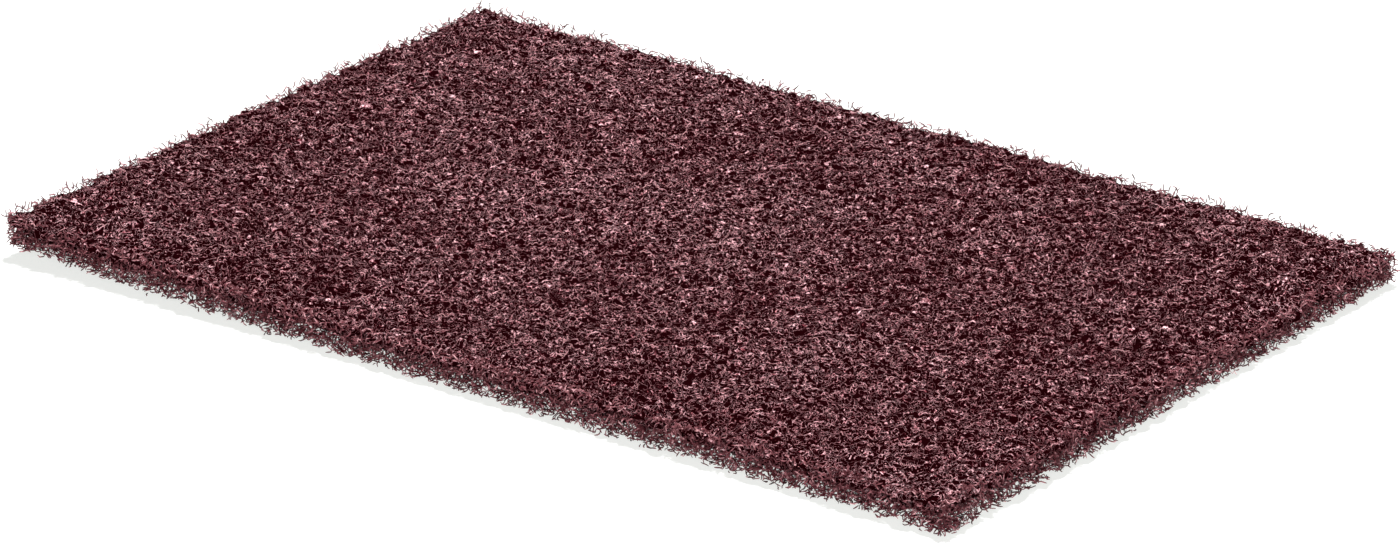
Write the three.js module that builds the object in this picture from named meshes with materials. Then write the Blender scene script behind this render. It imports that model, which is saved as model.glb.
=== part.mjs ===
// A nylon scouring pad: one slab of lofty nonwoven web, cut from a wider sheet with a flat die.
// The web is crimped nylon fibre bonded with maroon abrasive resin, so both faces are a field of
// flattened crests and soft hollows, and the four cut edges are ragged where tufts end at the blade.
// Millimetres, +Z up. The origin is the centre of the underside, +X along the pad's length.
import * as THREE from "three";

// The pad as it leaves the die.
const PAD_LENGTH = 229;
const PAD_WIDTH = 152;
const PAD_THICKNESS = 8;
const CORNER_RADIUS = 2;

// The two faces of the web: hollows between crests that the bonding oven has pressed level.
const FACE_RELIEF = 1.2;
const TUFT_SPACING = 3.9;
const TUFT_WANDER = 0.25 * TUFT_SPACING;
const CLOUD_SPACING = 13;
const CREST_SHARE = 0.45;

// The cut edge: tufts that reach the blade's line, and notches where the web was thin.
const NOTCH_DEPTH = 1.7;
const NOTCH_SPACING = 2;
const NOTCH_CLUSTER = 6;
const LAYER_COUNT = 3;
const LAYER_STEP_BACK = 0.9;

// The shallow furrow that the die's squeeze leaves along every cut edge, clear of the notches.
const FURROW_INSET = 2 * (NOTCH_DEPTH + LAYER_STEP_BACK);
const FURROW_DEPTH = 0.6;

// One corner has curled up off the table, and the lift fades out along both of its edges.
const CORNER_LIFT = 2.5;
const LIFT_REACH = 85;

const WEB_COLOUR = 0x613b3f;

// Which of its scatters each face of the web takes.
const UPPER_SEED = 1;
const UNDERSIDE_SEED = 2;

// Repeatable scatter from 0 to 1 for a whole-number place in the web.
function scatter(i, j, k) {
  const wave = Math.sin(i * 127.1 + j * 311.7 + k * 74.7) * 43758.5453;
  return wave - Math.floor(wave);
}

// Smooth scatter from 0 to 1 between whole-number places.
function cloud(x, y, k) {
  const column = Math.floor(x);
  const row = Math.floor(y);
  const across = THREE.MathUtils.smoothstep(x - column, 0, 1);
  const along = THREE.MathUtils.smoothstep(y - row, 0, 1);
  const near = THREE.MathUtils.lerp(scatter(column, row, k), scatter(column + 1, row, k), across);
  const far = THREE.MathUtils.lerp(scatter(column, row + 1, k), scatter(column + 1, row + 1, k), across);
  return THREE.MathUtils.lerp(near, far, along);
}

// A wave that is 0 over a level share of its range and rises from there to 1.
function levelled(wave) {
  return THREE.MathUtils.clamp((wave - CREST_SHARE) / (1 - CREST_SHARE), 0, 1);
}

// How deep the die's furrow is at a place, from its distance to the nearest cut edge.
function furrow(x, y) {
  const toEdge = Math.min(PAD_LENGTH / 2 - Math.abs(x), PAD_WIDTH / 2 - Math.abs(y));
  const offCentre = Math.abs(toEdge - FURROW_INSET) / FURROW_INSET;
  return FURROW_DEPTH * (1 - THREE.MathUtils.smoothstep(offCentre, 0, 1));
}

// How far a face lies inside the level of its crests. Each face has a seed of its own.
function sink(x, y, seed) {
  const broad = cloud(x / CLOUD_SPACING, y / CLOUD_SPACING, seed);
  const tuft = scatter(Math.round(x / TUFT_SPACING), Math.round(y / TUFT_SPACING), seed);
  return FACE_RELIEF * levelled(0.55 * broad + 0.45 * tuft) + furrow(x, y);
}

// How far the web stands off the table where its corner has curled.
function lift(x, y) {
  const alongLength = THREE.MathUtils.clamp(1 - (x + PAD_LENGTH / 2) / LIFT_REACH, 0, 1);
  const alongWidth = THREE.MathUtils.clamp(0.5 - y / PAD_WIDTH, 0, 1);
  return CORNER_LIFT * alongLength * Math.sqrt(alongLength) * alongWidth;
}

// The height of the web at a place, from 0 on the underside to 1 on the upper face.
function webHeight(x, y, share) {
  const underside = sink(x, y, UNDERSIDE_SEED);
  const upperFace = PAD_THICKNESS - sink(x, y, UPPER_SEED);
  return lift(x, y) + THREE.MathUtils.lerp(underside, upperFace, share);
}

// The blade's line: a rectangle with small round corners, as evenly spaced points.
function bladeLine() {
  const right = PAD_LENGTH / 2 - CORNER_RADIUS;
  const back = PAD_WIDTH / 2 - CORNER_RADIUS;
  const quarter = Math.PI / 2;
  const line = new THREE.Path();
  line.absarc(right, back, CORNER_RADIUS, 0, quarter);
  line.absarc(-right, back, CORNER_RADIUS, quarter, 2 * quarter);
  line.absarc(-right, -back, CORNER_RADIUS, 2 * quarter, 3 * quarter);
  line.absarc(right, -back, CORNER_RADIUS, 3 * quarter, 4 * quarter);
  line.closePath();
  const count = Math.round(line.getLength() / NOTCH_SPACING);
  return line.getSpacedPoints(count).slice(0, count);
}

// How far the edge of one layer of the web stops short of the blade's line at its point k.
// Near a corner, no cut goes past the centre of the corner round.
function shortfall(point, k, layer) {
  const thinSpot = cloud(k / NOTCH_CLUSTER, 0, 31);
  const notch = NOTCH_DEPTH * levelled(0.5 * thinSpot + 0.5 * scatter(k, 0, 32));
  const stepBack = LAYER_STEP_BACK * levelled(scatter(k, layer, 33));
  const toCornerX = PAD_LENGTH / 2 - CORNER_RADIUS - Math.abs(point.x);
  const toCornerY = PAD_WIDTH / 2 - CORNER_RADIUS - Math.abs(point.y);
  return Math.min(notch + stepBack, 0.8 * Math.hypot(toCornerX, toCornerY));
}

// The bearing of a place seen from the middle, stretched so that every corner is at an odd eighth.
function bearing(x, y, length, width) {
  const angle = Math.atan2(y / width, x / length);
  return angle < 0 ? angle + 2 * Math.PI : angle;
}

// The mesh in the making: its points, and the faces that join them.
const places = [];
const faces = [];

function addPoint(x, y, share) {
  places.push(x, y, webHeight(x, y, share));
  return places.length / 3 - 1;
}

function addFace(a, b, c, faceUp) {
  if (faceUp) faces.push(a, b, c);
  else faces.push(a, c, b);
}

// The four cut edges: one ragged ring for each layer, and the wall that joins them.
// Gives back the lowest and the highest ring.
function buildEdges() {
  const line = bladeLine();
  const count = line.length;
  const rings = [];
  for (let layer = 0; layer <= LAYER_COUNT; layer += 1) {
    rings.push(
      line.map((point, k) => {
        const along = line[(k + 1) % count].clone().sub(line[(k + count - 1) % count]).normalize();
        const inward = new THREE.Vector2(-along.y, along.x);
        const cut = point.clone().addScaledVector(inward, shortfall(point, k, layer));
        return {
          id: addPoint(cut.x, cut.y, layer / LAYER_COUNT),
          bearing: bearing(point.x, point.y, PAD_LENGTH, PAD_WIDTH),
        };
      }),
    );
  }
  for (let layer = 0; layer < LAYER_COUNT; layer += 1) {
    for (let k = 0; k < count; k += 1) {
      const next = (k + 1) % count;
      const below = rings[layer];
      const above = rings[layer + 1];
      addFace(below[k].id, below[next].id, above[next].id, true);
      addFace(below[k].id, above[next].id, above[k].id, true);
    }
  }
  return { lowest: rings[0], highest: rings[LAYER_COUNT] };
}

// Fills the band between two rings of points with triangles, going round both by bearing.
function joinRings(outerRing, innerRing, faceUp) {
  const outer = [...outerRing].sort((p, q) => p.bearing - q.bearing);
  const inner = [...innerRing].sort((p, q) => p.bearing - q.bearing);
  const pointOf = (ring, k) => ring[k % ring.length].id;
  const bearingOf = (ring, k) => (k < ring.length ? ring[k].bearing : ring[0].bearing + 2 * Math.PI);
  let a = 0;
  let b = 0;
  while (a < outer.length || b < inner.length) {
    const outerIsNext = bearingOf(outer, a + 1) <= bearingOf(inner, b + 1);
    const stepOuter = b === inner.length || (a < outer.length && outerIsNext);
    const third = stepOuter ? pointOf(outer, a + 1) : pointOf(inner, b + 1);
    addFace(pointOf(outer, a), third, pointOf(inner, b), faceUp);
    if (stepOuter) a += 1;
    else b += 1;
  }
}

// One face of the web: a grid of tufts inside the furrow, joined to the ragged ring of its edge.
function buildFace(edgeRing, faceUp) {
  const seed = faceUp ? UPPER_SEED : UNDERSIDE_SEED;
  const length = PAD_LENGTH - 2 * FURROW_INSET;
  const width = PAD_WIDTH - 2 * FURROW_INSET;
  const columns = Math.round(length / TUFT_SPACING);
  const rows = Math.round(width / TUFT_SPACING);
  const grid = [];
  const border = [];
  for (let row = 0; row <= rows; row += 1) {
    for (let column = 0; column <= columns; column += 1) {
      const x = length * (column / columns - 0.5);
      const y = width * (row / rows - 0.5);
      const wanderX = TUFT_WANDER * (2 * scatter(column, row, seed + 10) - 1);
      const wanderY = TUFT_WANDER * (2 * scatter(column, row, seed + 20) - 1);
      const id = addPoint(x + wanderX, y + wanderY, faceUp ? 1 : 0);
      grid.push(id);
      const onBorder = row === 0 || row === rows || column === 0 || column === columns;
      if (onBorder) border.push({ id, bearing: bearing(x, y, length, width) });
    }
  }
  const at = (column, row) => grid[row * (columns + 1) + column];
  for (let row = 0; row < rows; row += 1) {
    for (let column = 0; column < columns; column += 1) {
      const nearLeft = at(column, row);
      const nearRight = at(column + 1, row);
      const farRight = at(column + 1, row + 1);
      const farLeft = at(column, row + 1);
      if (scatter(column, row, seed + 30) < 0.5) {
        addFace(nearLeft, nearRight, farRight, faceUp);
        addFace(nearLeft, farRight, farLeft, faceUp);
      } else {
        addFace(nearLeft, nearRight, farLeft, faceUp);
        addFace(nearRight, farRight, farLeft, faceUp);
      }
    }
  }
  joinRings(edgeRing, border, faceUp);
}

function buildPad() {
  const edges = buildEdges();
  buildFace(edges.lowest, false);
  buildFace(edges.highest, true);
  const geometry = new THREE.BufferGeometry();
  geometry.setAttribute("position", new THREE.Float32BufferAttribute(places, 3));
  geometry.setIndex(faces);
  geometry.computeVertexNormals();
  const material = new THREE.MeshStandardMaterial({
    color: WEB_COLOUR,
    roughness: 0.85,
    metalness: 0,
  });
  const pad = new THREE.Mesh(geometry, material);
  pad.name = "scouring_pad";
  return pad;
}

const group = new THREE.Group();
group.add(buildPad());

export default group;
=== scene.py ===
"""Nylon scouring pad: a slab of lofty maroon web on a white table.

Lengths are in millimetres, except where a comment says metres.
"""

import bpy
import numpy as np
from mathutils import Matrix, Vector
from mathutils.bvhtree import BVHTree


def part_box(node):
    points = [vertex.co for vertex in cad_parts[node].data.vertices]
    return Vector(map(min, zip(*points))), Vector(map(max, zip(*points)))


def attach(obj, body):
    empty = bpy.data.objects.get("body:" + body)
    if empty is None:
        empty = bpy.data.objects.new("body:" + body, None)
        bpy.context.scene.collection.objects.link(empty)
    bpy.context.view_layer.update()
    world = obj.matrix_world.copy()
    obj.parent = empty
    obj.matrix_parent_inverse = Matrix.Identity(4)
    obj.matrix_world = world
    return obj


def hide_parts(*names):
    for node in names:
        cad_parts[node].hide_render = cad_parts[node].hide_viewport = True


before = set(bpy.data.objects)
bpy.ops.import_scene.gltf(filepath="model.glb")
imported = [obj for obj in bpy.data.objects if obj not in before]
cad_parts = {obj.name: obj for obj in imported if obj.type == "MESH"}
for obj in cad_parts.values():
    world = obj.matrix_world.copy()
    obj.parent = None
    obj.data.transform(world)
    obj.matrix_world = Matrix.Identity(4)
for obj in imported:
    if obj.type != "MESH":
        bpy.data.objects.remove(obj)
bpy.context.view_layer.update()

MM = 0.001
TURN = 2 * np.pi
TINY = 1e-9

# The camera that fits the photograph's edges and corners. Its angles are in degrees.
CAMERA_AZIMUTH = 37.15
CAMERA_ELEVATION = 22.51
CAMERA_ROLL = -0.29
CAMERA_DISTANCE = 1768.8
CAMERA_TARGET = (0.27, 0.44, 0.0)
CAMERA_LENS = 230.2
SENSOR_WIDTH = 36.0
CAMERA_SIGHT_METRES = 50

# The table and the lamps, in metres and watts.
TABLE_HALF = 3.0
TABLE_COLOUR = (0.9, 0.9, 0.9, 1)
TABLE_SHADOW_COLOUR = (0.35, 0.35, 0.35, 1)
TABLE_WHITE = (0.98, 1.0, 0.97, 1)
TABLE_WHITE_STRENGTH = 0.72
BACKDROP_STRENGTH = 1.0
SKY_STRENGTH = 0.09
KEY_PLACE = (-0.07, 0.17, 1.25)
KEY_SIZE = 0.12
KEY_POWER = 32
FILL_PLACE = (0.8, -1.1, 0.45)
FILL_SIZE = 0.8
FILL_POWER = 16

# The bonded web's paint: bright level lines of a noise, the fibres, over near-black painted shade in the
# hollows between them; the palest stop is a painted highlight. The scale is per metre.
LINE_SCALE = 560.0
LINE_DETAIL = 1.0
LINE_WINDING = 1.2
LINE_SHARPNESS = 11.0
LINE_SETS = ((6.0, (0, 0, 0)), (5.0, (0.31, 0.17, 0.05)))
LINE_LIFT = 0.2
HOLLOW_SHADE_LEVEL = 0.05
WEB_ROUGHNESS = 0.9
WEB_HOLLOW_SHADE = (0.22, (0.008, 0.0005, 0.001))
WEB_MID = (0.55, (0.285, 0.073, 0.091))
WEB_HIGHLIGHT = (1.0, (0.86, 0.57, 0.61))

# The paint of the free fibres, whose resin is a little shinier. The scale is per metre.
FIBRE_SCALE = 1000.0
FIBRE_DETAIL = 2.0
FIBRE_CONTRAST = 1.6
FIBRE_ROUGHNESS = 0.5
FIBRE_SPECULAR = 0.35
FIBRE_SPECULAR_TINT = (1.0, 0.55, 0.6, 1.0)
FIBRE_DARK = (0.3, (0.045, 0.004, 0.007))
FIBRE_MID = (0.65, (0.185, 0.06, 0.07))
FIBRE_LIGHT = (1.0, (0.66, 0.36, 0.38))

# The solid body of the web, which lies inside the layer of free fibres.
BODY_CELL = 2.0
BODY_RINGS = 9
BODY_UNDER_WEB = 1.6

# The body's underside: how far it lies above the web's, and its soft lumps.
UNDERSIDE_SINK = 0.6
UNDERSIDE_LUMP = 0.5
UNDERSIDE_SHIFT = 300
BROAD_SHARE = 0.3
LUMP_MEAN = 0.5 * (1 + BROAD_SHARE)

# How far the body stays inside the cut at shares of its height: the web is open along its edges.
CORE_HEIGHTS = (0.0, 0.45, 1.0)
CORE_INSETS = (6.0, 1.7, 2.4)
CORE_CORNER = 2.5
CORNER_START = 1e-3

# The tufts and gaps of the body's wall, which fade out upwards.
WALL_JAG_DEPTH = 6.0
WALL_JAG_LEVEL = 0.6
WALL_JAG_STEP = 1.4

# The upper face of the web: a closed relief of ridges and pits, in two halves.
WEB_CELL = 0.43
WEB_RELIEF = 1.0
WEB_SINK = 0.1
WEB_INSET = 0.2
CREST_LEAST = 0.6
CREST_SPAN = 0.4
RIDGE_WINDING = 1.7

# The rim of the relief, which is ragged and dips a little.
RIM_SHOULDER = 2.2
RIM_JAG_DEPTH = 3.0
RIM_JAG_LEVEL = 0.55
RIM_DIP = 0.3

# Below the rim hangs a thin brim, and from its foot a slope runs in to a flat base.
BRIM_DROP = 0.9
BRIM_LEAST = 0.4
BRIM_SPAN = 1.2
BASE_INSET = 4.4
BASE_HEIGHT = 3.8
BASE_RISE = 0.2

# How light the parts of the web are: 1 is the paint as it is written.
BODY_LUMP_TONE = 0.6
BODY_BROAD_TONE = 0.15
# Painted shade in the relief's pits and painted light on its crests: the tone rises from the pits to the
# crests.
PIT_SHADE_TONE = 0.7
CREST_LIGHT_TONE_SPAN = 0.9
PATCH_TONE = 0.2
BRIM_TONE = 0.8
BASE_TONE = 0.4

# UV from 0 to 1: the margin past the pad, the border of a half of the relief, and how small the
# hidden faces are.
UV_MARGIN = 10
UV_BORDER = 0.02
UV_HIDDEN_SCALE = 0.01

# Fibres are three-sided with narrow tips, and one that the cut leaves with too few points is dropped.
# Their sides are turned by a direction that they seldom follow. Here and below, a pair gives the
# least and the most of a share that is taken by chance.
FIBRE_SIDES = 3
FIBRE_LEAST_POINTS = 3
FIBRE_TIP = 0.6
FIBRE_THICKNESSES = (0.8, 1.15)
SELDOM_DIRECTION = (0.11, 0.07, 0.99)

# The loose fibres of the faces: a wandering course with a regular crimp on it, which also rises
# and falls in low arches, dips at the rim and ends in a little fuzz outside the cut.
FIBRE_RADIUS = 0.075
FIBRE_STEP = 0.5
WANDER_START = 0.18
WANDER_KEEP = 0.75
WANDER_CHANGE = 0.16
CRIMP_LENGTH = 1.4
CRIMP_LENGTHS = (0.8, 1.35)
CRIMP_SWING = 1.15
CRIMP_SWINGS = (0.6, 1.3)
ARCH_LENGTHS = (0.9, 1.8)
ARCH_HEIGHTS = (0.3, 1.2)
LOOSE_ROLL = 0.15
LOOSE_HIGHEST = 0.4
LOOSE_RIM_DIP = 0.3
LOOSE_RIM_DIPS = (0.3, 1.0)
LOOSE_RIM_REACH = 3.5
LOOSE_FUZZ = 0.6
LOOSE_FUZZ_LONGEST = 2.0
LOOSE_FUZZ_LEAST = -0.1
LOOSE_TONE_SPREAD = 0.1
# Painted shade: a fibre's tone rises with how far it stands out of the face, so its low points are
# darker.
LOOSE_SHADE_RISE = 0.4
LOOSE_SHADE_OFFSET = 0.3

# Steps of an even scatter over the pad: neighbours in order never crowd.
SPREAD_STEPS = (0.7548776662466927, 0.5698402909980532)
SPREAD_PER_SEED = 1000

# The fringe: short fibres along the cut. They start at most FRINGE_DEPTHS inside it, at the same
# shares of the height as CORE_HEIGHTS, and wander on in bent steps until they leave the web.
FRINGE_COUNT = 7900
FRINGE_POINTS = 4
FRINGE_RADIUS = 0.14
FRINGE_STEP = 0.6
FRINGE_DEPTHS = (6.4, 2.0, 1.6)
FRINGE_TRIES = 5
FRINGE_OVER_TOP = 0.1
FRINGE_ROOF = 1.3
FRINGE_WAY = (1, 1, 0.9)
FRINGE_BEND_START = 0.3
FRINGE_BEND_KEEP = 0.3
FRINGE_BEND_CHANGE = 0.6
FRINGE_BEND = (1, 1, 0.8)
FRINGE_BOUNCE = -0.5
FRINGE_FUZZ = 0.7
FRINGE_FUZZ_LEAST = 0.3
FRINGE_FUZZ_LONGEST = 2.4
# Painted shade: the fringe's fibres are painted darker than the faces' fibres, as the cut sides lie in
# shade, and a little darker towards the bottom.
FRINGE_SHADE_TONE = -0.33
FRINGE_SHADE_RISE = 0.04
FRINGE_TONE_SPREAD = 0.14


# Scatter


def eased(share):
    """A share from 0 to 1 that starts and stops softly."""
    return share * share * (3 - 2 * share)


class Cloud:
    """Smooth scatter from 0 to 1 whose lumps are about one size across."""

    LATTICE = 128

    def __init__(self, seed, size):
        self.size = size
        self.values = np.random.default_rng(seed).random((self.LATTICE, self.LATTICE))

    def at(self, x, y):
        u = np.asarray(x) / self.size
        v = np.asarray(y) / self.size
        i = np.floor(u).astype(int)
        j = np.floor(v).astype(int)
        across = eased(u - i)
        along = eased(v - j)
        i0, i1 = i % self.LATTICE, (i + 1) % self.LATTICE
        j0, j1 = j % self.LATTICE, (j + 1) % self.LATTICE
        low = self.values[i0, j0] * (1 - across) + self.values[i1, j0] * across
        high = self.values[i0, j1] * (1 - across) + self.values[i1, j1] * across
        return low * (1 - along) + high * along


lumps = Cloud(seed=11, size=2.1)
broad_lumps = Cloud(seed=12, size=7.0)
wall_jag = Cloud(seed=13, size=2.2)
crests = Cloud(seed=37, size=1.3)
rim_jag = Cloud(seed=38, size=1.7)
brim_jag = Cloud(seed=39, size=1.5)
patches = Cloud(seed=40, size=14.0)
broad_patches = Cloud(seed=41, size=35.0)


# The frame's solid, measured

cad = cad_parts["scouring_pad"]
low_corner, high_corner = (np.array(c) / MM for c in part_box("scouring_pad"))
LENGTH, WIDTH, _ = high_corner - low_corner
HALF_LENGTH = LENGTH / 2
HALF_WIDTH = WIDTH / 2

cad_places = [cad.matrix_world @ v.co / MM for v in cad.data.vertices]
cad_tree = BVHTree.FromPolygons(cad_places, [p.vertices[:] for p in cad.data.polygons])


class Surface:
    """The height of the solid's upper face or underside, read once on a lattice."""

    PITCH = 1.5
    MARGIN = 4.0
    START = 50.0

    def __init__(self, from_above):
        self.reach_x = HALF_LENGTH - self.MARGIN
        self.reach_y = HALF_WIDTH - self.MARGIN
        self.nx = int(2 * self.reach_x / self.PITCH) + 1
        self.ny = int(2 * self.reach_y / self.PITCH) + 1
        side = 1 if from_above else -1
        way = Vector((0, 0, -side))
        self.z = np.zeros((self.nx, self.ny))
        for i, x in enumerate(np.linspace(-self.reach_x, self.reach_x, self.nx)):
            for j, y in enumerate(np.linspace(-self.reach_y, self.reach_y, self.ny)):
                self.z[i, j] = cad_tree.ray_cast(Vector((x, y, side * self.START)), way)[0].z

    def at(self, x, y):
        u = (np.clip(x, -self.reach_x, self.reach_x) + self.reach_x) / (2 * self.reach_x) * (self.nx - 1)
        v = (np.clip(y, -self.reach_y, self.reach_y) + self.reach_y) / (2 * self.reach_y) * (self.ny - 1)
        i = np.minimum(u.astype(int), self.nx - 2)
        j = np.minimum(v.astype(int), self.ny - 2)
        across = u - i
        along = v - j
        low = self.z[i, j] * (1 - across) + self.z[i + 1, j] * across
        high = self.z[i, j + 1] * (1 - across) + self.z[i + 1, j + 1] * across
        return low * (1 - along) + high * along


upper = Surface(from_above=True)
under = Surface(from_above=False)


def gaps_at(sides, x, y):
    """How far each side's cut stops short of the blade's line, level with a place."""
    return {
        name: np.interp(y if name in ("right", "left") else x, *side) for name, side in sides.items()
    }


class Edge:
    """How far the ragged cut stops short of the blade's straight line on the four sides."""

    # Whether each side runs along x, and which way it faces.
    SIDES = {"right": (False, 1), "left": (False, -1), "back": (True, 1), "front": (True, -1)}

    # The wall is measured every so far, at these heights, from a start outside it.
    PITCH = 0.5
    HEIGHTS = (1.5, 4.0, 6.5)
    START = 9
    DEEPEST = 2.8

    # The gap beside a corner, and how far from the corner it holds.
    CORNER_GAP = 0.2
    CORNER_REACH = 3.5

    # The share of a notch that counts, and how many places a smooth gap is the mean of.
    SHARE = 0.55
    SMOOTHING = 7

    def __init__(self):
        self.sides = {}
        self.smooth_sides = {}
        for name, (along_x, sign) in self.SIDES.items():
            span = HALF_LENGTH if along_x else HALF_WIDTH
            places = np.arange(-span, span + self.PITCH, self.PITCH)
            gaps = [min(self.gap(p, z, along_x, sign) for z in self.HEIGHTS) for p in places]
            gaps = np.where(np.abs(places) > span - self.CORNER_REACH, self.CORNER_GAP, gaps)
            gaps = self.SHARE * gaps
            self.sides[name] = (places, gaps)
            self.smooth_sides[name] = (places, self.smoothed(gaps))

    def gap(self, p, z, along_x, sign):
        """The gap of one side at a place along it and a height."""
        reach = HALF_WIDTH if along_x else HALF_LENGTH
        out = sign * (reach + self.START)
        start = Vector((p, out, z)) if along_x else Vector((out, p, z))
        way = Vector((0, -sign, 0)) if along_x else Vector((-sign, 0, 0))
        hit = cad_tree.ray_cast(start, way)[0]
        if hit is None:
            return self.DEEPEST
        return min(reach - sign * (hit.y if along_x else hit.x), self.DEEPEST)

    def smoothed(self, gaps):
        """The running mean of a row of gaps."""
        kernel = np.ones(self.SMOOTHING) / self.SMOOTHING
        return np.convolve(np.pad(gaps, self.SMOOTHING // 2, mode="edge"), kernel, mode="valid")

    def inside(self, x, y):
        """How far a place is inside the cut, negative outside it."""
        gap = gaps_at(self.sides, x, y)
        return np.minimum.reduce(
            [
                HALF_LENGTH - x - gap["right"],
                HALF_LENGTH + x - gap["left"],
                HALF_WIDTH - y - gap["back"],
                HALF_WIDTH + y - gap["front"],
            ]
        )


edge = Edge()


def plan(u, v, inset):
    """Places for grid shares from -1 to 1: they fill the cut outline, drawn in from it by inset."""
    gap = gaps_at(edge.smooth_sides, u * (HALF_LENGTH - inset), v * (HALF_WIDTH - inset))
    x_low = -HALF_LENGTH + gap["left"] + inset
    x_high = HALF_LENGTH - gap["right"] - inset
    y_low = -HALF_WIDTH + gap["front"] + inset
    y_high = HALF_WIDTH - gap["back"] - inset
    x = x_low + (x_high - x_low) * (u + 1) / 2
    y = y_low + (y_high - y_low) * (v + 1) / 2
    return rounded_corners(x, y, inset)


def rounded_corners(x, y, inset):
    """Places near a corner, moved so that the square of the corner becomes a quarter circle."""
    beyond_x = np.maximum(np.abs(x) - (HALF_LENGTH - inset - CORE_CORNER), TINY)
    beyond_y = np.maximum(np.abs(y) - (HALF_WIDTH - inset - CORE_CORNER), TINY)
    in_corner = (beyond_x > CORNER_START) & (beyond_y > CORNER_START)
    share = np.maximum(beyond_x, beyond_y) / np.hypot(beyond_x, beyond_y)
    x = np.where(in_corner, np.sign(x) * (np.abs(x) - beyond_x * (1 - share)), x)
    y = np.where(in_corner, np.sign(y) * (np.abs(y) - beyond_y * (1 - share)), y)
    return x, y


def pushed_out(x, y, push):
    """Places moved away from the middle of the pad, by a push that is full at its edges."""
    return x * (1 + push / HALF_LENGTH), y * (1 + push / HALF_WIDTH)


# Meshes


def as_places(x, y, z):
    """Three grids of coordinates as one list of places."""
    return np.stack([x.ravel(), y.ravel(), z.ravel()], axis=1)


def ring_of(grid):
    """The values along the border of a grid, going round it counter-clockwise from above."""
    return np.concatenate([grid[:-1, 0], grid[-1, :-1], grid[:0:-1, -1], grid[0, :0:-1]])


def grid_quads(index):
    """The quads of a grid of point numbers, with their corners counter-clockwise from above."""
    corners = index[:-1, :-1], index[1:, :-1], index[1:, 1:], index[:-1, 1:]
    return np.stack([c.ravel() for c in corners], axis=1)


def band_quads(below, above):
    """The quads of the wall between two rings of point numbers."""
    return np.stack([below, np.roll(below, -1), np.roll(above, -1), above], axis=1)


def plan_uv(places):
    """Places seen from above, as UV from 0 to 1."""
    across = 0.5 + places[:, 0] / (LENGTH + UV_MARGIN)
    along = 0.5 + places[:, 1] / (WIDTH + UV_MARGIN)
    return np.stack([across, along], axis=1)


def make_piece(name, places, loops, counts, uv, tone, material, smooth):
    """A mesh piece of the pad: places, corner indices, corners per face, a UV per corner."""
    mesh = bpy.data.meshes.new(name)
    mesh.vertices.add(len(places))
    mesh.vertices.foreach_set("co", (places * MM).astype(np.float32).ravel())
    mesh.loops.add(len(loops))
    mesh.loops.foreach_set("vertex_index", loops.astype(np.int32))
    mesh.polygons.add(len(counts))
    starts = np.concatenate(([0], np.cumsum(counts)[:-1]))
    mesh.polygons.foreach_set("loop_start", starts.astype(np.int32))
    mesh.polygons.foreach_set("use_smooth", np.full(len(counts), smooth))
    mesh.update(calc_edges=True)
    layer = mesh.uv_layers.new(name="OFBake")
    layer.data.foreach_set("uv", uv.astype(np.float32).ravel())
    attribute = mesh.attributes.new("tone", "FLOAT", "POINT")
    attribute.data.foreach_set("value", tone.astype(np.float32))
    mesh.materials.append(material)
    piece = bpy.data.objects.new(name, mesh)
    bpy.context.scene.collection.objects.link(piece)
    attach(piece, "root")
    return piece


# Finishes


def add_math(tree, operation, *values):
    """The result of a maths node. Each value is a number or a socket."""
    node = tree.nodes.new("ShaderNodeMath")
    node.operation = operation
    for entry, value in zip(node.inputs, values):
        if isinstance(value, bpy.types.NodeSocket):
            tree.links.new(value, entry)
        else:
            entry.default_value = value
    return node.outputs[0]


def add_noise(tree, where, scale, detail, winding):
    """The value of a noise at the place that a socket gives."""
    node = tree.nodes.new("ShaderNodeTexNoise")
    node.inputs["Scale"].default_value = scale
    node.inputs["Detail"].default_value = detail
    node.inputs["Distortion"].default_value = winding
    tree.links.new(where, node.inputs["Vector"])
    return node.outputs["Fac"]


def add_tone(tree):
    """The tone that the mesh carries at its points."""
    node = tree.nodes.new("ShaderNodeAttribute")
    node.attribute_name = "tone"
    return node.outputs["Fac"]


def add_ramp(tree, share, dark, mid, light):
    """A colour that runs through three stops, each a position and a colour."""
    node = tree.nodes.new("ShaderNodeValToRGB")
    stops = node.color_ramp.elements
    stops[0].position = dark[0]
    stops[0].color = (*dark[1], 1)
    stops[1].position = light[0]
    stops[1].color = (*light[1], 1)
    stops.new(mid[0]).color = (*mid[1], 1)
    tree.links.new(share, node.inputs["Fac"])
    return node.outputs["Color"]


def add_place(tree):
    """The place on the piece, in metres."""
    return tree.nodes.new("ShaderNodeTexCoord").outputs["Object"]


def add_fibre_lines(tree, where, levels, offset):
    """Thin curving lines that wander over the web: the level lines of a noise."""
    shift = tree.nodes.new("ShaderNodeVectorMath")
    shift.operation = "ADD"
    shift.inputs[1].default_value = offset
    tree.links.new(where, shift.inputs[0])
    noise = add_noise(tree, shift.outputs[0], LINE_SCALE, LINE_DETAIL, LINE_WINDING)
    wave = add_math(tree, "PINGPONG", add_math(tree, "MULTIPLY", noise, levels), 1.0)
    return add_math(tree, "POWER", wave, LINE_SHARPNESS)


def web_material():
    """The deep web, drawn as a tangle of lines on painted shade in its hollows, the palest lines with a
    painted highlight.
    """
    material = bpy.data.materials.new("bonded_web")
    material.use_nodes = True
    tree = material.node_tree
    shader = tree.nodes["Principled BSDF"]
    shader.inputs["Roughness"].default_value = WEB_ROUGHNESS
    shader.inputs["Specular IOR Level"].default_value = 0.0
    place = add_place(tree)
    tangle = add_math(tree, "MAXIMUM", *(add_fibre_lines(tree, place, *lines) for lines in LINE_SETS))
    # The hollows between the lines get painted shade, and the palest lines a painted highlight.
    paint = add_math(tree, "ADD", tangle, HOLLOW_SHADE_LEVEL)
    shade = add_math(tree, "MULTIPLY", paint, add_tone(tree))
    colour = add_ramp(tree, shade, WEB_HOLLOW_SHADE, WEB_MID, WEB_HIGHLIGHT)
    tree.links.new(colour, shader.inputs["Base Color"])
    lift = tree.nodes.new("ShaderNodeBump")
    lift.inputs["Distance"].default_value = LINE_LIFT * MM
    tree.links.new(tangle, lift.inputs["Height"])
    tree.links.new(lift.outputs["Normal"], shader.inputs["Normal"])
    return material


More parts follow.
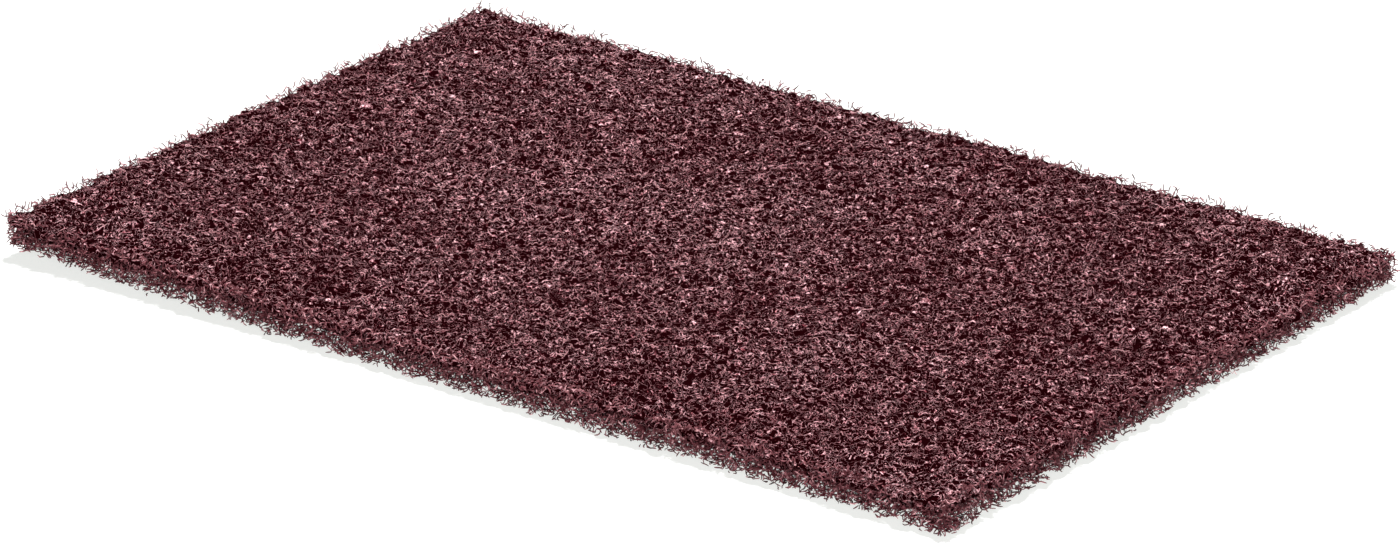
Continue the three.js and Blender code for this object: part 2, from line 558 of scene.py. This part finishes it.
def fibre_material():
    """The free fibres, in the same maroon, with a soft sheen."""
    material = bpy.data.materials.new("resin_coated_fibre")
    material.use_nodes = True
    tree = material.node_tree
    shader = tree.nodes["Principled BSDF"]
    shader.inputs["Roughness"].default_value = FIBRE_ROUGHNESS
    shader.inputs["Specular IOR Level"].default_value = FIBRE_SPECULAR
    shader.inputs["Specular Tint"].default_value = FIBRE_SPECULAR_TINT
    noise = add_noise(tree, add_place(tree), FIBRE_SCALE, FIBRE_DETAIL, 0.0)
    shade = add_math(tree, "MULTIPLY_ADD", noise, FIBRE_CONTRAST, add_tone(tree))
    colour = add_ramp(tree, shade, FIBRE_DARK, FIBRE_MID, FIBRE_LIGHT)
    tree.links.new(colour, shader.inputs["Base Color"])
    return material


web_finish = web_material()
fibre_finish = fibre_material()


# The body of the web


def underside_height(x, y):
    """The body's underside: a little above the web's, with soft lumps of its own."""
    lump = lumps.at(x, y + UNDERSIDE_SHIFT) + BROAD_SHARE * broad_lumps.at(x, y) - LUMP_MEAN
    return under.at(x, y) + UNDERSIDE_SINK - UNDERSIDE_LUMP * lump


def build_body():
    """The closed body: two faces on the same grid, and the ragged wall of rings that joins them."""
    columns = int(LENGTH / BODY_CELL)
    rows = int(WIDTH / BODY_CELL)
    u, v = np.meshgrid(np.linspace(-1, 1, columns + 1), np.linspace(-1, 1, rows + 1), indexing="ij")
    top_x, top_y = plan(u, v, CORE_INSETS[-1])
    low_x, low_y = plan(u, v, CORE_INSETS[0])
    top_z = upper.at(top_x, top_y) - BODY_UNDER_WEB
    low_z = underside_height(low_x, low_y)
    top_index = np.arange(u.size).reshape(u.shape)
    low_index = u.size + top_index
    top_ring = ring_of(top_index)
    low_ring = ring_of(low_index)
    count = len(top_ring)

    places = [as_places(top_x, top_y, top_z), as_places(low_x, low_y, low_z)]
    rings = [low_ring]
    around = np.arange(count) * BODY_CELL
    for k in range(1, BODY_RINGS):
        share = k / BODY_RINGS
        x, y = plan(ring_of(u), ring_of(v), np.interp(share, CORE_HEIGHTS, CORE_INSETS))
        jag = wall_jag.at(around, np.full(count, k * WALL_JAG_STEP)) - WALL_JAG_LEVEL
        x, y = pushed_out(x, y, WALL_JAG_DEPTH * jag * (1 - share))
        z = ring_of(low_z) + (ring_of(top_z) - ring_of(low_z)) * share
        places.append(as_places(x, y, z))
        rings.append(2 * u.size + (k - 1) * count + np.arange(count))
    rings.append(top_ring)

    places = np.concatenate(places)
    walls = [band_quads(below, above) for below, above in zip(rings[:-1], rings[1:])]
    quads = np.concatenate([grid_quads(top_index), grid_quads(low_index)[:, [0, 3, 2, 1]], *walls])
    loops = quads.ravel()

    # The underside takes one half of the UV square, and the rest of the body the other.
    on_underside = np.zeros(len(places), bool)
    on_underside[low_index.ravel()] = True
    on_underside[low_ring] = False
    corner_uv = plan_uv(places)[loops]
    corner_uv[:, 1] = corner_uv[:, 1] / 2 + np.repeat(on_underside[quads].any(axis=1), 4) / 2

    tone = 1 + BODY_LUMP_TONE * (lumps.at(places[:, 0], places[:, 1]) - 0.5)
    tone += BODY_BROAD_TONE * (broad_lumps.at(places[:, 0], places[:, 1]) - 0.5)
    counts = np.full(len(quads), 4)
    return make_piece("pad_body", places, loops, counts, corner_uv, tone, web_finish, smooth=True)


# The relief of the upper face


def ridges(x, y, seed, size, waves):
    """Winding ridges, 0 between them and 1 on their tops: the level lines of two clouds."""
    wave = waves * Cloud(seed, size).at(x, y) + Cloud(seed + 1, RIDGE_WINDING * size).at(x, y)
    return 1 - np.abs(2 * (wave % 1) - 1)


def web_relief(x, y):
    """The tangle of the upper face, from 0 in its pits to 1 on its crests."""
    first = ridges(x, y, seed=31, size=1.35, waves=1.5)
    second = ridges(x, y, seed=33, size=1.6, waves=1.8)
    return (CREST_LEAST + CREST_SPAN * crests.at(x, y)) * (first + second) / 2


def build_web(name, first_share, last_share):
    """The upper face between two shares of the length: a relief, closed by walls and a flat base."""
    columns = int(LENGTH / WEB_CELL * (last_share - first_share))
    rows = int(WIDTH / WEB_CELL)
    along_length = np.linspace(2 * first_share - 1, 2 * last_share - 1, columns + 1)
    u, v = np.meshgrid(along_length, np.linspace(-1, 1, rows + 1), indexing="ij")
    x, y = plan(u, v, WEB_INSET)
    tangle = web_relief(x, y)
    rim = np.clip(1 - (edge.inside(x, y) - WEB_INSET) / RIM_SHOULDER, 0, 1)
    x, y = pushed_out(x, y, RIM_JAG_DEPTH * rim * (rim_jag.at(x, y) - RIM_JAG_LEVEL))
    z = upper.at(x, y) - WEB_SINK - WEB_RELIEF * (1 - tangle) - RIM_DIP * rim * rim

    top = as_places(x, y, z)
    index = np.arange(len(top)).reshape(u.shape)
    ring = ring_of(index)
    count = len(ring)
    brim = top[ring].copy()
    brim[:, 2] -= BRIM_DROP * (BRIM_LEAST + BRIM_SPAN * brim_jag.at(brim[:, 0], brim[:, 1]))
    base_x, base_y = plan(ring_of(u), ring_of(v), BASE_INSET)
    base = as_places(base_x, base_y, BASE_HEIGHT + (brim[:, 2] - brim[:, 2].min()) * BASE_RISE)
    places = np.concatenate([top, brim, base, base.mean(axis=0)[None]])

    brim_ring = len(top) + np.arange(count)
    base_ring = brim_ring + count
    relief = grid_quads(index)
    walls = np.concatenate([band_quads(brim_ring, ring), band_quads(base_ring, brim_ring)])
    fan = np.stack([np.roll(base_ring, -1), base_ring, np.full(count, len(places) - 1)], axis=1)
    loops = np.concatenate([relief.ravel(), walls.ravel(), fan.ravel()])
    counts = np.concatenate([np.full(len(relief) + len(walls), 4), np.full(count, 3)])

    left = top[:, 0].min()
    span = top[:, 0].max() - left
    across = UV_BORDER + (1 - 2 * UV_BORDER) * (places[:, 0] - left) / span
    corner_uv = np.stack([across, plan_uv(places)[:, 1]], axis=1)[loops]
    seen_corners = 4 * (len(relief) + count)
    corner_uv[seen_corners:] *= UV_HIDDEN_SCALE

    patch = 1 + PATCH_TONE * (patches.at(x, y) - 0.5) + PATCH_TONE * (broad_patches.at(x, y) - 0.5)
    # The paint is darker in the relief's pits and lighter on its crests: painted shade and painted
    # light.
    relief_shade_and_light = patch * (PIT_SHADE_TONE + CREST_LIGHT_TONE_SPAN * tangle)
    tone = np.concatenate(
        [relief_shade_and_light.ravel(), np.full(count, BRIM_TONE), np.full(count + 1, BASE_TONE)]
    )
    make_piece(name, places, loops, counts, corner_uv, tone, web_finish, smooth=False)


# The fibres


def tubes(name, paths, alive, radius, tone):
    """Fibres as thin closed prisms.

    paths is (fibre, point, xyz) and tone (fibre, point). A fibre ends where alive first fails.
    """
    alive = np.logical_and.accumulate(alive, axis=1)
    keep = alive.sum(axis=1) >= FIBRE_LEAST_POINTS
    paths, alive, radius, tone = paths[keep], alive[keep], radius[keep], tone[keep]
    lengths = alive.sum(axis=1)

    ahead = np.diff(paths, axis=1)
    tangent = np.concatenate([ahead[:, :1], ahead[:, :-1] + ahead[:, 1:], ahead[:, -1:]], axis=1)
    tangent /= np.linalg.norm(tangent, axis=2, keepdims=True) + TINY
    side = np.cross(tangent, np.array(SELDOM_DIRECTION))
    side /= np.linalg.norm(side, axis=2, keepdims=True) + TINY
    over = np.cross(side, tangent)
    points, side, over = paths[alive], side[alive], over[alive]

    fibre = np.repeat(np.arange(len(lengths)), lengths)
    offsets = np.concatenate(([0], np.cumsum(lengths)[:-1]))
    within = np.arange(len(points)) - offsets[fibre]
    is_first = within == 0
    is_last = within == lengths[fibre] - 1
    thickness = (radius[fibre] * np.where(is_first | is_last, FIBRE_TIP, 1.0))[:, None]
    angles = TURN * np.arange(FIBRE_SIDES) / FIBRE_SIDES + TURN / 4
    corners = [points + thickness * (np.cos(a) * side + np.sin(a) * over) for a in angles]
    places = np.stack(corners, axis=1).reshape(-1, 3)

    here = (np.arange(len(points)) * FIBRE_SIDES)[~is_last]
    there = here + FIBRE_SIDES
    quads = []
    for k in range(FIBRE_SIDES):
        m = (k + 1) % FIBRE_SIDES
        quads.append(np.stack([here + k, there + k, there + m, here + m], axis=1))
    quads = np.concatenate(quads)
    starts = np.nonzero(is_first)[0] * FIBRE_SIDES
    ends = np.nonzero(is_last)[0] * FIBRE_SIDES
    start_caps = np.stack([starts, starts + 1, starts + 2], axis=1)
    end_caps = np.stack([ends, ends + 2, ends + 1], axis=1)
    caps = np.concatenate([start_caps, end_caps])
    loops = np.concatenate([quads.ravel(), caps.ravel()])
    counts = np.concatenate([np.full(len(quads), 4), np.full(len(caps), 3)])
    tones = np.repeat(tone[alive], FIBRE_SIDES)
    make_piece(name, places, loops, counts, plan_uv(places)[loops], tones, fibre_finish, smooth=True)


def crimped_heading(rng, count, steps):
    """Headings along each fibre: a wandering course with a regular crimp on it."""
    wander = np.zeros((count, steps))
    rate = rng.normal(0, WANDER_START, count)
    for k in range(1, steps):
        rate = WANDER_KEEP * rate + rng.normal(0, WANDER_CHANGE, count)
        wander[:, k] = wander[:, k - 1] + rate
    along = np.arange(steps) * FIBRE_STEP
    wave = TURN * along / (CRIMP_LENGTH * rng.uniform(*CRIMP_LENGTHS, (count, 1)))
    swing = CRIMP_SWING * rng.uniform(*CRIMP_SWINGS, (count, 1))
    crimp = swing * np.sin(wave + rng.uniform(0, TURN, (count, 1)))
    return rng.uniform(0, TURN, (count, 1)) + wander + crimp


def lay_fibres(name, seed, count, steps, level, spread, arch, on_top, tone_level):
    """Fibres that lie in one face of the web. level is how far they stand out of it."""
    rng = np.random.default_rng(seed)
    order = np.arange(count) + seed * SPREAD_PER_SEED
    x0 = LENGTH * (order * SPREAD_STEPS[0] % 1 - 0.5)
    y0 = WIDTH * (order * SPREAD_STEPS[1] % 1 - 0.5)
    heading = crimped_heading(rng, count, steps)
    x = x0[:, None] + np.cumsum(np.cos(heading), axis=1) * FIBRE_STEP
    y = y0[:, None] + np.cumsum(np.sin(heading), axis=1) * FIBRE_STEP

    # A point by chance along each fibre comes to its place in the scatter.
    anchor = rng.integers(0, steps, count)
    x += (x0 - x[np.arange(count), anchor])[:, None]
    y += (y0 - y[np.arange(count), anchor])[:, None]

    along = np.arange(steps) * FIBRE_STEP
    wave = TURN * along / (CRIMP_LENGTH * rng.uniform(*ARCH_LENGTHS, (count, 1)))
    height = arch * rng.uniform(*ARCH_HEIGHTS, (count, 1))
    rise = height * np.sin(wave + rng.uniform(0, TURN, (count, 1)))
    out = level + rng.normal(0, spread, (count, 1)) + rise
    out += LOOSE_ROLL * (broad_lumps.at(x, y) - 0.5)
    inside = edge.inside(x, y)
    near = np.clip(1 - inside / LOOSE_RIM_REACH, 0, 1)
    out -= LOOSE_RIM_DIP * near * near * rng.uniform(*LOOSE_RIM_DIPS, (count, 1))
    out = np.minimum(out, LOOSE_HIGHEST)
    z = upper.at(x, y) + out if on_top else np.maximum(under.at(x, y) - out, FIBRE_RADIUS)

    # Each fibre starts at its first point that isn't too far outside the cut.
    fuzz = np.minimum(rng.exponential(LOOSE_FUZZ, (count, 1)), LOOSE_FUZZ_LONGEST) + LOOSE_FUZZ_LEAST
    alive = inside > -fuzz
    first = np.argmax(alive, axis=1)[:, None]
    shift = (np.arange(steps)[None] + first) % steps
    pick = np.arange(count)[:, None]
    paths = np.stack([x, y, z], axis=2)[pick, shift]
    alive = alive[pick, shift] & (shift >= first)

    tone = tone_level + rng.normal(0, LOOSE_TONE_SPREAD, (count, 1))
    # Painted shade: points that lie lower in the face are darker, points that stand out are lighter.
    tone = tone + LOOSE_SHADE_RISE * (out[pick, shift] + LOOSE_SHADE_OFFSET)
    tubes(name, paths, alive, FIBRE_RADIUS * rng.uniform(*FIBRE_THICKNESSES, count), tone)


def fringe_starts(rng):
    """Where the fringe's fibres start, chosen from more tries: outside the body, all round the cut.

    Gives back the places, and their shares of the pad's height.
    """
    depth = FRINGE_DEPTHS[0] * rng.random(FRINGE_TRIES * FRINGE_COUNT)
    share = rng.random(FRINGE_TRIES * FRINGE_COUNT)
    outside = np.nonzero(depth < np.interp(share, CORE_HEIGHTS, FRINGE_DEPTHS))[0][:FRINGE_COUNT]
    depth, share = depth[outside], share[outside]
    at = rng.uniform(0, 2 * (LENGTH + WIDTH), len(depth))
    on_front = at < LENGTH
    on_right = (at >= LENGTH) & (at < LENGTH + WIDTH)
    on_back = (at >= LENGTH + WIDTH) & (at < 2 * LENGTH + WIDTH)
    x = np.select(
        [on_front, on_right, on_back],
        [at - HALF_LENGTH, HALF_LENGTH - depth, at - LENGTH - WIDTH - HALF_LENGTH],
        -HALF_LENGTH + depth,
    )
    y = np.select(
        [on_front, on_right, on_back],
        [-HALF_WIDTH + depth, at - LENGTH - HALF_WIDTH, HALF_WIDTH - depth],
        at - 2 * LENGTH - WIDTH - HALF_WIDTH,
    )
    z = under.at(x, y) + share * (upper.at(x, y) + FRINGE_OVER_TOP - under.at(x, y))
    return np.stack([x, y, z], axis=1), share


def build_fringe(name, seed):
    """Short fibres of the open web along the cut edges, each a chance walk from its start."""
    rng = np.random.default_rng(seed)
    place, share = fringe_starts(rng)
    count = len(place)
    way = rng.normal(0, 1, (count, 3)) * np.array(FRINGE_WAY)
    way /= np.linalg.norm(way, axis=1, keepdims=True)
    bend = rng.normal(0, FRINGE_BEND_START, (count, 3))
    path = [place]
    for _ in range(FRINGE_POINTS - 1):
        change = rng.normal(0, FRINGE_BEND_CHANGE, (count, 3)) * np.array(FRINGE_BEND)
        bend = FRINGE_BEND_KEEP * bend + change
        way = way + bend
        way /= np.linalg.norm(way, axis=1, keepdims=True)
        place = place + way * FRINGE_STEP
        roof = upper.at(place[:, 0], place[:, 1]) + FRINGE_ROOF
        floor = under.at(place[:, 0], place[:, 1]) + FIBRE_RADIUS
        bounce = (place[:, 2] > roof) | (place[:, 2] < floor)
        place[:, 2] = np.clip(place[:, 2], floor, roof)
        way[bounce, 2] *= FRINGE_BOUNCE
        path.append(place)
    paths = np.stack(path, axis=1)
    fuzz = np.minimum(rng.exponential(FRINGE_FUZZ, (count, 1)), FRINGE_FUZZ_LONGEST)
    alive = edge.inside(paths[..., 0], paths[..., 1]) > -(FRINGE_FUZZ_LEAST + fuzz)
    # The fringe's painted shade: dark overall, and a little darker towards the bottom.
    tone = FRINGE_SHADE_TONE + FRINGE_SHADE_RISE * share + rng.normal(0, FRINGE_TONE_SPREAD, count)
    tone = np.repeat(tone[:, None], FRINGE_POINTS, axis=1)
    tubes(name, paths, alive, FRINGE_RADIUS * rng.uniform(*FIBRE_THICKNESSES, count), tone)


body = build_body()
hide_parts("scouring_pad")

build_web("web_upper_left", first_share=0.0, last_share=0.5)
build_web("web_upper_right", first_share=0.5, last_share=1.0)

lay_fibres(
    "fibres_upper",
    seed=23,
    count=1000,
    steps=9,
    level=0.0,
    spread=0.15,
    arch=0.4,
    on_top=True,
    tone_level=-0.12,
)
lay_fibres(
    "fibres_under",
    seed=24,
    count=600,
    steps=14,
    level=-0.3,
    spread=0.2,
    arch=0.35,
    on_top=False,
    tone_level=0.0,
)
build_fringe("fibres_cut_edge_low", seed=25)
build_fringe("fibres_cut_edge_mid", seed=26)
build_fringe("fibres_cut_edge_high", seed=27)


# Table, light and camera


def add_camera_mix(tree, unseen, seen, surface):
    """The look that the camera sees, and the other one for all light that reaches the pad."""
    path = tree.nodes.new("ShaderNodeLightPath")
    mix = tree.nodes.new("ShaderNodeMixShader")
    tree.links.new(path.outputs["Is Camera Ray"], mix.inputs["Fac"])
    tree.links.new(unseen.outputs[0], mix.inputs[1])
    tree.links.new(seen.outputs[0], mix.inputs[2])
    tree.links.new(mix.outputs[0], surface)


def table_material():
    """A matt white. The camera sees it nearly pure white, with a fainter shadow of the pad."""
    material = bpy.data.materials.new("white_table")
    material.use_nodes = True
    tree = material.node_tree
    tree.nodes.clear()
    out = tree.nodes.new("ShaderNodeOutputMaterial")
    matt = tree.nodes.new("ShaderNodeBsdfDiffuse")
    matt.inputs["Color"].default_value = TABLE_COLOUR
    faint = tree.nodes.new("ShaderNodeBsdfDiffuse")
    faint.inputs["Color"].default_value = TABLE_SHADOW_COLOUR
    glow = tree.nodes.new("ShaderNodeEmission")
    glow.inputs["Color"].default_value = TABLE_WHITE
    glow.inputs["Strength"].default_value = TABLE_WHITE_STRENGTH
    seen = tree.nodes.new("ShaderNodeAddShader")
    tree.links.new(faint.outputs[0], seen.inputs[0])
    tree.links.new(glow.outputs[0], seen.inputs[1])
    add_camera_mix(tree, matt, seen, out.inputs["Surface"])
    return material


def build_table():
    mesh = bpy.data.meshes.new("table")
    corners = [(x * TABLE_HALF, y * TABLE_HALF, 0) for x, y in ((-1, -1), (1, -1), (1, 1), (-1, 1))]
    mesh.from_pydata(corners, [], [(0, 1, 2, 3)])
    mesh.materials.append(table_material())
    floor = bpy.data.objects.new("table", mesh)
    bpy.context.scene.collection.objects.link(floor)


def build_world():
    """A white backdrop for the camera, and a soft light from all sides for the pad."""
    world = bpy.data.worlds.new("studio")
    bpy.context.scene.world = world
    world.use_nodes = True
    tree = world.node_tree
    tree.nodes.clear()
    out = tree.nodes.new("ShaderNodeOutputWorld")
    backdrop = tree.nodes.new("ShaderNodeBackground")
    backdrop.inputs["Color"].default_value = (1, 1, 1, 1)
    backdrop.inputs["Strength"].default_value = BACKDROP_STRENGTH
    sky = tree.nodes.new("ShaderNodeBackground")
    sky.inputs["Color"].default_value = (1, 1, 1, 1)
    sky.inputs["Strength"].default_value = SKY_STRENGTH
    add_camera_mix(tree, sky, backdrop, out.inputs["Surface"])


def add_lamp(name, place, size, power):
    """A square lamp that is turned to the pad."""
    lamp = bpy.data.lights.new(name, "AREA")
    lamp.size = size
    lamp.energy = power
    light = bpy.data.objects.new(name, lamp)
    light.location = place
    light.rotation_euler = (-Vector(place)).to_track_quat("-Z", "Y").to_euler()
    bpy.context.scene.collection.objects.link(light)


def build_camera():
    azimuth, elevation, roll = np.radians([CAMERA_AZIMUTH, CAMERA_ELEVATION, CAMERA_ROLL])
    level_back = np.array([np.sin(azimuth), -np.cos(azimuth), 0])
    back = level_back * np.cos(elevation) + np.array([0, 0, np.sin(elevation)])
    level = np.cross(-back, [0, 0, 1])
    level /= np.linalg.norm(level)
    upright = np.cross(level, -back)
    right = level * np.cos(roll) + upright * np.sin(roll)
    up = -level * np.sin(roll) + upright * np.cos(roll)
    place = (np.array(CAMERA_TARGET) + back * CAMERA_DISTANCE) * MM
    data = bpy.data.cameras.new("camera")
    data.lens = CAMERA_LENS
    data.sensor_width = SENSOR_WIDTH
    data.clip_end = CAMERA_SIGHT_METRES
    camera = bpy.data.objects.new("camera", data)
    matrix = Matrix.Identity(4)
    for column, axis in enumerate((right, up, back, place)):
        for row in range(3):
            matrix[row][column] = axis[row]
    camera.matrix_world = matrix
    bpy.context.scene.collection.objects.link(camera)
    bpy.context.scene.camera = camera


build_table()
build_world()
build_camera()
add_lamp("key", KEY_PLACE, KEY_SIZE, KEY_POWER)
add_lamp("fill", FILL_PLACE, FILL_SIZE, FILL_POWER)
bpy.context.scene.view_settings.view_transform = "Standard"
